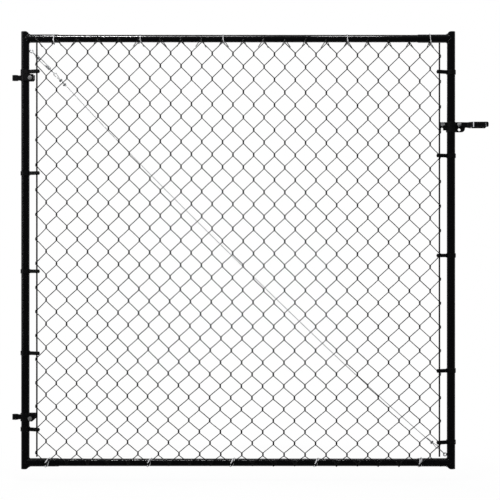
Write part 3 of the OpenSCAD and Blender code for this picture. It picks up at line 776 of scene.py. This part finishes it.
class GATE_OT_bolts(bpy.types.Operator):
    """Fits domed carriage bolts with chamfered nuts, and the rails' screws"""

    bl_idname = "gate.bolts"
    bl_label = "Bolts"

    def execute(self, context):
        for side, axis_x, rod, sign in (("left", X_L, ROD_L, 1), ("right", X_R, ROD_R, -1)):
            arm = Vector((rod - axis_x, Y_MESH, 0))
            along = arm.normalized()
            across = Vector((-sign * along.y, sign * along.x, 0))
            reach = arm.length + ROD_D / 2 + 0.0027
            half = (ROD_D + 0.0003) / 2 + BAND_T
            bm = bmesh.new()
            for z in BANDS[side]:
                at = Vector((axis_x, 0, z)) + along * reach - across * half
                carriage_bolt(bm, at, across, 2 * half, BAND_BOLT)
            piece_of(bm, side + "_carriage_bolts", "coated_bolt", [side + "_band_bolts"])
        for node, sizes, slot, look in (
                ("upper_hinge_bolt", FRAME_BOLT, "worn_bolt", "worn_bolt"),
                ("lower_hinge_bolt", FRAME_BOLT, "worn_bolt", "worn_bolt"),
                ("latch_clamp_bolt", FRAME_BOLT, "coated_bolt", "rubbed_bolt"),
                ("latch_pivot_bolt", PIVOT_BOLT, "coated_bolt", "rubbed_bolt")):
            half = -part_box(node)[0][1] - sizes[1][1]
            bm = bmesh.new()
            at = (middle(node, 0), -half, middle(node, 2))
            carriage_bolt(bm, at, (0, 1, 0), 2 * half, sizes)
            piece_of(bm, "domed_" + node, slot, [node], look=look)
        bm = bmesh.new()
        reach = TUBE_R + STUB_LEN - 0.040
        for x in (X_L + reach, X_R - reach):
            for z in (Z_TOP, Z_BOT):
                place = stand((x, TUBE_R + 0.0002, z), (0, 1, 0))
                lathe(bm, place, SCREW_HEAD, 24)
                nut(bm, place @ Matrix.Translation((0, 0, 0.0011)), 0.0019, 0.0073, 0.0031)
                lathe(bm, place, [(0.0022, 0.0038), (0.0017, 0.0034), (0.0, 0.0034)], 16)
        piece_of(bm, "hex_rail_screws", "coated_bolt", ["rail_screws"])
        return {"FINISHED"}


# ---------------------------------------------------------------- fork


# Distances of a tine's strip from the fork's middle, its ends' rounding and the bridge's place
STRIP_T, INNER, OUTER, FLARE = 0.003, 0.0068, 0.0330, 0.002
HUB_R, TIP_R = 0.0095, 0.006
BRIDGE_U, BRIDGE_H = 0.033, 0.022


def fillet(points, cut, steps=6):
    """Rounds the inner corners of a path of (x, y) points."""
    out = [Vector(points[0])]
    for a, b, c in zip(points, points[1:], points[2:]):
        a, b, c = Vector(a), Vector(b), Vector(c)
        start = b + (a - b).normalized() * min(cut, (a - b).length * 0.45)
        end = b + (c - b).normalized() * min(cut, (c - b).length * 0.45)
        for i in range(steps + 1):
            t = i / steps
            out.append(start * (1 - t) ** 2 + b * (2 * t * (1 - t)) + end * t * t)
    out.append(Vector(points[-1]))
    return out


def stations(path, gap):
    """The path's points, with long straights divided."""
    out = [path[0]]
    for a, b in zip(path, path[1:]):
        count = max(1, math.ceil((b - a).length / gap))
        out += [a.lerp(b, i / count) for i in range(1, count + 1)]
    return out


def tine_edges(x):
    """The lower and upper edge of a tine at a distance from its pivot."""
    low, high, end = -0.0125, HUB_R, FORK_LEN - TIP_R
    if x < 0:
        half = math.sqrt(max(0.0, HUB_R ** 2 - x * x))
        return -half, half
    if x < 0.026:
        low = -HUB_R - 0.003 * max(0.0, min(1.0, (x - 0.021) / 0.005))
    if x > end:
        inset = TIP_R - math.sqrt(max(0.0, TIP_R ** 2 - (x - end) ** 2))
        low, high = low + inset, high - inset
    return low, high


class GATE_OT_fork(bpy.types.Operator):
    """Bends the fork's two tines of strip, and joins them with the bridge"""

    bl_idname = "gate.fork"
    bl_label = "Fork"

    def execute(self, context):
        z0 = middle("latch_pivot_bolt", 2)
        plan = fillet([(-0.0094, INNER), (0.034, INNER), (0.0485, 0.0300), (0.053, OUTER),
                       (FORK_LEN - 0.0175, OUTER), (FORK_LEN - 0.0125, OUTER + FLARE),
                       (FORK_LEN - 0.0001, OUTER + FLARE)], 0.0045)
        spots = stations(plan, 0.0020)
        bm = bmesh.new()
        for side in (-1, 1):
            made = bmesh.ops.create_grid(bm, x_segments=len(spots) - 1, y_segments=4, size=0.5)
            for vert in made["verts"]:
                i = round((vert.co.x + 0.5) * (len(spots) - 1))
                low, high = tine_edges(spots[i].x)
                z = z0 + low + (high - low) * (vert.co.y + 0.5)
                vert.co = (PIVOT_X + spots[i].x, side * spots[i].y, z)
            faces = list({f for v in made["verts"] for f in v.link_faces})
            bmesh.ops.recalc_face_normals(bm, faces=faces)
            shell = bmesh.ops.solidify(bm, geom=faces, thickness=STRIP_T)
            grown = {v for g in shell["geom"] if isinstance(g, bmesh.types.BMFace) for v in g.verts}
            grown |= set(made["verts"])
            ys = [side * v.co.y for v in grown if v.co.x < PIVOT_X + 0.02]
            shift = INNER - (min(ys) + max(ys)) / 2
            bmesh.ops.translate(bm, verts=list(grown), vec=(0, side * shift, 0))
        bmesh.ops.create_cube(bm, size=1.0, matrix=(
            Matrix.Translation((PIVOT_X + BRIDGE_U, 0, z0 - 0.0015))
            @ Matrix.Diagonal((STRIP_T, 2 * (INNER - 0.0012), BRIDGE_H, 1))))
        bmesh.ops.recalc_face_normals(bm, faces=bm.faces)
        edges = [e for e in bm.edges if e.is_manifold and e.calc_face_angle() > 0.9]
        bevel(bm, edges, 0.00045)
        piece_of(bm, "bent_fork", "coated_plate", ["latch_fork"], 35, "fork", "fork_strip")
        return {"FINISHED"}


# ---------------------------------------------------------------- welds


RING_STEPS = 110


def rows(a, b, gap=0.0011):
    """Points from a to b, a weld's ripple apart."""
    a, b = Vector(a), Vector(b)
    count = max(2, int((b - a).length / gap))
    return [tuple(a.lerp(b, i / count)) for i in range(count + 1)]


class GATE_OT_welds(bpy.types.Operator):
    """Runs weld beads round the stubs, the hinge eyes, the corner eyes and the fork's bridge"""

    bl_idname = "gate.welds"
    bl_label = "Welds"

    def execute(self, context):
        sizes = context.scene.gate_sizes
        rings, lines, noise = [], [], random.Random(5)
        for x0, sign in ((X_L, 1), (X_R, -1)):
            for z0 in (Z_TOP, Z_BOT):
                ring = []
                for i in range(RING_STEPS):
                    t = math.tau * i / RING_STEPS
                    out = TUBE_R + 0.0003 + 0.0002 * noise.uniform(-1, 1)
                    ring.append((x0 + sign * (out * abs(math.cos(t)) + 0.0002), out * math.sin(t),
                                 z0 + out * math.cos(t)))
                rings.append(ring)
        mesh = wires("stub_weld_beads", rings, sizes.bead / 2, 1, closed=True, ripple=0.13)
        finish_piece("stub_weld_beads", mesh, "coated_plate")
        for node in ("lower_hinge", "upper_hinge"):
            foot = 0.0 if node == "lower_hinge" else HINGE_RISE
            for y in (-0.0108, 0.0108):
                for x in (0.0066, X_L - 0.0176):
                    lines.append(rows((x, y, foot + 0.003), (x, y, foot + 0.020)))
        for node, sign in (("upper_corner_eye", 1), ("lower_corner_eye", -1)):
            x0 = (X_L if sign > 0 else X_R) + sign * (TUBE_R + 0.0003)
            z0 = middle(node, 2)
            for y in (-0.0019, 0.0019):
                lines.append(rows((x0, y, z0 - 0.0042), (x0, y, z0 + 0.0042), 0.0009))
        mesh = wires("plate_weld_beads", lines, 0.0016, 1, ripple=0.16)
        finish_piece("plate_weld_beads", mesh, "coated_plate")
        x0, low = PIVOT_X + 0.0314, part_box("latch_fork")[0][2]
        seams = [rows((x0, y, low + 0.003), (x0, y, low + BRIDGE_H - 0.003))
                 for y in (-0.0046, 0.0046)]
        mesh = wires("fork_weld_beads", seams, 0.0014, 1, ripple=0.16)
        finish_piece("fork_weld_beads", mesh, "coated_plate", body="fork")
        return {"FINISHED"}


# ---------------------------------------------------------------- truss cable


# Half the space of two ropes side by side, a loop's bend, and from there its legs and tail
ROPE_R, LOOP_R, LEG, TAIL = 0.00155, 0.0060, 0.024, 0.062
# The fittings at the rope's ends, and how far a loop reaches into its link
LINK_R, LINK_LEN, LINK_STEP = 0.0065, 0.026, 0.0089
BUCKLE_EYE, LOOP_HOOKED = 0.130, 0.0036
ROPE_SAG, BOW_R = 0.038, 0.0047
BACK = Vector((0, 1, 0))


def cable_axis():
    """The cable's line: its start, its direction, its sideways direction and its length."""
    eye = TUBE_R + 0.0079
    start = Vector((X_L + eye, 0, middle("upper_corner_eye", 2)))
    end = Vector((X_R - eye, 0, middle("lower_corner_eye", 2)))
    along = (end - start).normalized()
    return start, along, Vector((-along.z, 0, along.x)), (end - start).length


def loops_at(span):
    """How far along the cable's line the middles of its two loops are."""
    return (BUCKLE_EYE + LINK_R + LOOP_R - LOOP_HOOKED,
            span - LINK_STEP - LINK_LEN - LINK_R - LOOP_R + LOOP_HOOKED)


def rope_centre(span):
    """The rope's middle line in (along, sideways), from one tail round both loops to the other."""
    halves = []
    for middle_u, way in zip(loops_at(span), (1, -1)):
        half = [(middle_u + way * TAIL, -way * ROPE_R), (middle_u + way * LEG, -way * ROPE_R)]
        for i in range(17):
            t = math.radians(30 - way * 90 - 15 * i)
            half.append((middle_u + LOOP_R * math.cos(t), LOOP_R * math.sin(t)))
        halves.append(half + [(middle_u + way * LEG, way * ROPE_R)])
    return halves[0] + halves[1][::-1]


def sag(u, span):
    """How far the slack rope hangs under its straight line, at a distance from the upper eye."""
    first, last = BUCKLE_EYE + 0.006, span - LINK_LEN - 0.015
    f = min(1.0, max(0.0, (u - first) / (last - first)))
    return Vector((0, 0, -ROPE_SAG * (1 - abs(2 * f - 1) ** 2.6)))


def resample(path, gap):
    """Evenly spaced points on a path, each with the length run so far."""
    points, run = [], 0.0
    for a, b in zip(path, path[1:]):
        a, b = Vector(a), Vector(b)
        reach = (b - a).length
        count = max(1, round(reach / gap))
        points += [(a.lerp(b, i / count), run + reach * i / count) for i in range(count)]
        run += reach
    return points + [(Vector(path[-1]), run)]


class GATE_OT_cable(bpy.types.Operator):
    """Lays the truss cable's strands and fits its U bolt clips and threads"""

    bl_idname = "gate.cable"
    bl_label = "Truss cable"

    def execute(self, context):
        sizes = context.scene.gate_sizes
        start, along, aside, span = cable_axis()
        points = resample(rope_centre(span), 0.0021)
        strands = [[] for _ in range(6)]
        for i, (place, run) in enumerate(points):
            way = (points[min(i + 1, len(points) - 1)][0] - points[max(i - 1, 0)][0]).normalized()
            centre = start + along * place.x + aside * place.y + sag(place.x, span)
            normal = along * -way.y + aside * way.x
            for k, strand in enumerate(strands):
                t = math.tau * (run / sizes.lay + k / 6)
                strand.append(tuple(centre + 0.00099 * (normal * math.cos(t) + BACK * math.sin(t))))
        mesh = wires("stranded_cable", strands, 0.00052, 1)
        finish_piece("stranded_cable", mesh, "wire_rope", ["truss_cable"])

        first, last = loops_at(span)
        bows, bm = [], bmesh.new()
        for u in (first + LEG + 0.008, first + TAIL - 0.008, last - LEG - 0.008):
            at = start + along * u + sag(u, span)
            way = (along * 0.01 + sag(u + 0.005, span) - sag(u - 0.005, span)).normalized()
            across = Vector((-way.z, 0, way.x))
            turn = Matrix((way, BACK, across)).transposed().to_4x4()
            made = bmesh.ops.create_cube(bm, size=1.0, matrix=(
                Matrix.Translation(at) @ turn @ Matrix.Translation((0, 0.0032, 0))
                @ Matrix.Diagonal((0.0078, 0.0032, 0.0135, 1))))
            bevel(bm, list({e for v in made["verts"] for e in v.link_edges}), 0.0008)
            aside_leg = across * BOW_R
            for foot in (at - aside_leg, at + aside_leg):
                nut(bm, stand(foot + BACK * 0.0048, BACK, way), 0.0013, 0.0055, 0.0024)
            bow = [at + aside_leg + BACK * 0.0090, at + aside_leg]
            for i in range(9):
                t = math.pi * i / 8
                depth = 0.0031 * math.sin(t) ** 0.7 + 0.0002
                bow.append(at + aside_leg * math.cos(t) - BACK * depth)
            bow += [at - aside_leg, at - aside_leg + BACK * 0.0090]
            bows.append([tuple(point) for point in bow])
        piece_of(bm, "clip_saddles", "galvanised", ["cable_clips"], 35, look="dull_clip")
        mesh = wires("clip_bows", bows, 0.0014, 2)
        finish_piece("clip_bows", mesh, "galvanised", look="dull_clip")

        bm = bmesh.new()
        for u0, u1, hand in ((0.0180, 0.0520, 1), (0.0860, 0.1215, -1)):
            thread(bm, stand(start + along * u0, along, BACK), 0.0030, 0.0010, u1 - u0, hand, 12)
        piece_of(bm, "turnbuckle_threads", "galvanised", angle=35)
        return {"FINISHED"}


# ---------------------------------------------------------------- stage


SENSOR, DISTANCE, VIEW_WIDTH = 36.0, 6.0, 2.0925
VIEW_X, VIEW_Z = 0.9820, 0.7094
FLOOR_X, FLOOR_R, FLOOR_GAP = 0.98, 1.6, 0.05
# Name, place, the point it looks at, width and height, and power of each lamp
LAMPS = (
    ("Left strip", (0.190, -0.53, 2.556), (0.24, 0, 1.594), (0.48, 0.05), 23),
    ("Right strip", (1.470, -0.50, 2.56), (1.45, 0, 1.594), (0.34, 0.10), 6),
    ("Top strip", (0.62, -1.26, 3.87), (0.75, 0, 1.594), (0.80, 0.16), 22),
    ("Left key", (-2.6, -1.1, 1.2), (0.6, 0, 0.8), (0.2, 2.2), 7),
    ("Back fill", (1.0, 2.6, 2.2), (0.95, 0, 0.6), (2.2, 1.4), 24))


class GATE_OT_stage(bpy.types.Operator):
    """Sets the camera, the lights, the background and the floor"""

    bl_idname = "gate.stage"
    bl_label = "Stage"

    def execute(self, context):
        scene = context.scene
        data = bpy.data.cameras.new("View")
        data.sensor_width = SENSOR
        data.lens = SENSOR * DISTANCE / VIEW_WIDTH
        camera = put("View", data)
        camera.location = (VIEW_X, -DISTANCE, VIEW_Z)
        camera.rotation_euler = (math.radians(90), 0, 0)
        scene.camera = camera

        world = scene.world or bpy.data.worlds.new("Studio")
        scene.world = world
        world.use_nodes = True
        tree = world.node_tree
        tree.nodes.clear()
        ray = add(tree, "LightPath").outputs
        place = add(tree, "SeparateXYZ", {0: add(tree, "TexCoord").outputs["Generated"]}).outputs
        shine = maths(tree, "MAXIMUM", ray["Is Glossy Ray"], ray["Is Transmission Ray"])
        behind = ramp(tree, place["Y"], -0.10, 0.30, 0.0, 0.35)
        seen = maths(tree, "MAXIMUM", ray["Is Camera Ray"], maths(tree, "MULTIPLY", shine, behind))
        sky = ramp(tree, place["Z"], 0.55, 1.0, 0.05, 0.20)
        level = blend(tree, shine, 0.75, sky, "FLOAT")
        dim = add(tree, "Background", {"Color": (0.97, 0.98, 1, 1), "Strength": level})
        white = add(tree, "Background", {"Color": (1, 1, 1, 1), "Strength": 1.0})
        mix = add(tree, "MixShader", {0: seen, 1: dim.outputs[0], 2: white.outputs[0]})
        add(tree, "OutputWorld", {0: mix.outputs[0]})

        mat, tree, shader = new_material("Floor", (0.78, 0.78, 0.77), 0.85, specular=0.2)
        reach = add(tree, "VectorMath", {0: add(tree, "TexCoord").outputs["Object"],
                                         1: (FLOOR_X, 0.0, 0.0)}, operation="DISTANCE")
        fade = ramp(tree, reach.outputs["Value"], 0.9, 1.5, 0.94)
        lit = maths(tree, "MULTIPLY", fade, add(tree, "LightPath").outputs["Is Camera Ray"])
        white = add(tree, "Emission", {"Color": (1, 1, 1, 1), "Strength": 1.0})
        mix = add(tree, "MixShader", {0: lit, 1: shader.outputs[0], 2: white.outputs[0]})
        plug(tree, mix.outputs[0], tree.nodes["Material Output"].inputs["Surface"])
        bm = bmesh.new()
        low = CAD_BOX[0][2] - FLOOR_GAP
        bmesh.ops.create_circle(bm, cap_ends=True, segments=96, radius=FLOOR_R,
                                matrix=Matrix.Translation((FLOOR_X, 0, low)))
        mesh = bpy.data.meshes.new("floor")
        bm.to_mesh(mesh)
        bm.free()
        mesh.materials.append(mat)
        floor = put("floor", mesh)
        floor.visible_glossy = False

        for name, place, aim, size, power in LAMPS:
            lamp = bpy.data.lights.new(name, "AREA")
            lamp.shape = "RECTANGLE"
            lamp.size, lamp.size_y = size
            lamp.energy = power
            obj = put(name, lamp)
            obj.location = place
            obj.rotation_euler = (Vector(aim) - Vector(place)).to_track_quat("-Z", "Y").to_euler()
        scene.view_settings.view_transform = "Standard"
        return {"FINISHED"}


# ---------------------------------------------------------------- panel and run


class GATE_PT_panel(bpy.types.Panel):
    """Sizes, colours and steps of the gate's dressing"""

    bl_label = "Chain Link Gate"
    bl_idname = "GATE_PT_panel"
    bl_space_type = "VIEW_3D"
    bl_region_type = "UI"
    bl_category = "Gate"

    def draw(self, context):
        layout = self.layout
        for group in (context.scene.gate_sizes, context.scene.gate_colours):
            box = layout.box()
            for key in group.__annotations__:
                box.prop(group, key)
        for step in STEPS:
            layout.operator(step.bl_idname)


STEPS = [GATE_OT_stage, GATE_OT_finishes, GATE_OT_fabric, GATE_OT_ties, GATE_OT_bolts, GATE_OT_fork,
         GATE_OT_welds, GATE_OT_cable]
CLASSES = [GateSizes, GateColours, *STEPS, GATE_PT_panel]


def register():
    for cls in CLASSES:
        bpy.utils.register_class(cls)
    bpy.types.Scene.gate_sizes = bpy.props.PointerProperty(type=GateSizes)
    bpy.types.Scene.gate_colours = bpy.props.PointerProperty(type=GateColours)


def unregister():
    del bpy.types.Scene.gate_colours
    del bpy.types.Scene.gate_sizes
    for cls in reversed(CLASSES):
        bpy.utils.unregister_class(cls)


def main():
    register()
    for step in STEPS:
        group, name = step.bl_idname.split(".")
        getattr(getattr(bpy.ops, group), name)()


if __name__ == "__main__":
    main()
